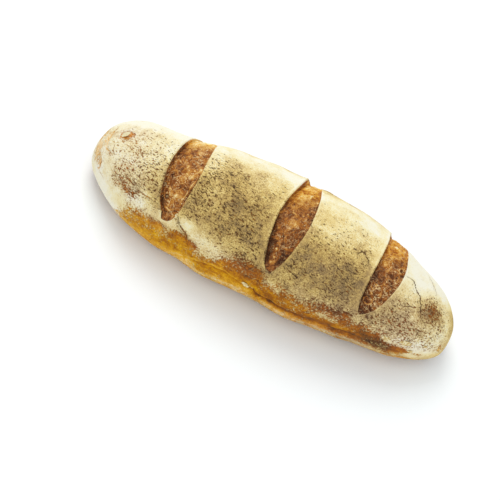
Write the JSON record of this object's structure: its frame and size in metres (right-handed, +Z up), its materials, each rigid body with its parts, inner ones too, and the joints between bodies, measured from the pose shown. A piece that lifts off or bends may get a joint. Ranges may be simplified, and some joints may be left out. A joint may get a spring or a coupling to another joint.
{
  "type": "long crusty bread loaf",
  "caption": "Long hearth-baked bread loaf with rounded ends, a floured crust on a flat base and opened slashes across its top.",
  "frame": {"origin": "on the surface that the loaf rests on, under the middle of its bounding box", "axes": "+X along the loaf, +Y across it away from the side with the burst crease, +Z up out of its slashed top"},
  "size_m": [0.28, 0.0952, 0.0695],
  "materials": {
    "crust": "floured baked crust, matte, with deep brown bread in the slashes"
  },
  "bodies": {
    "root": {"loaf": "crust"}
  },
  "joints": []
}
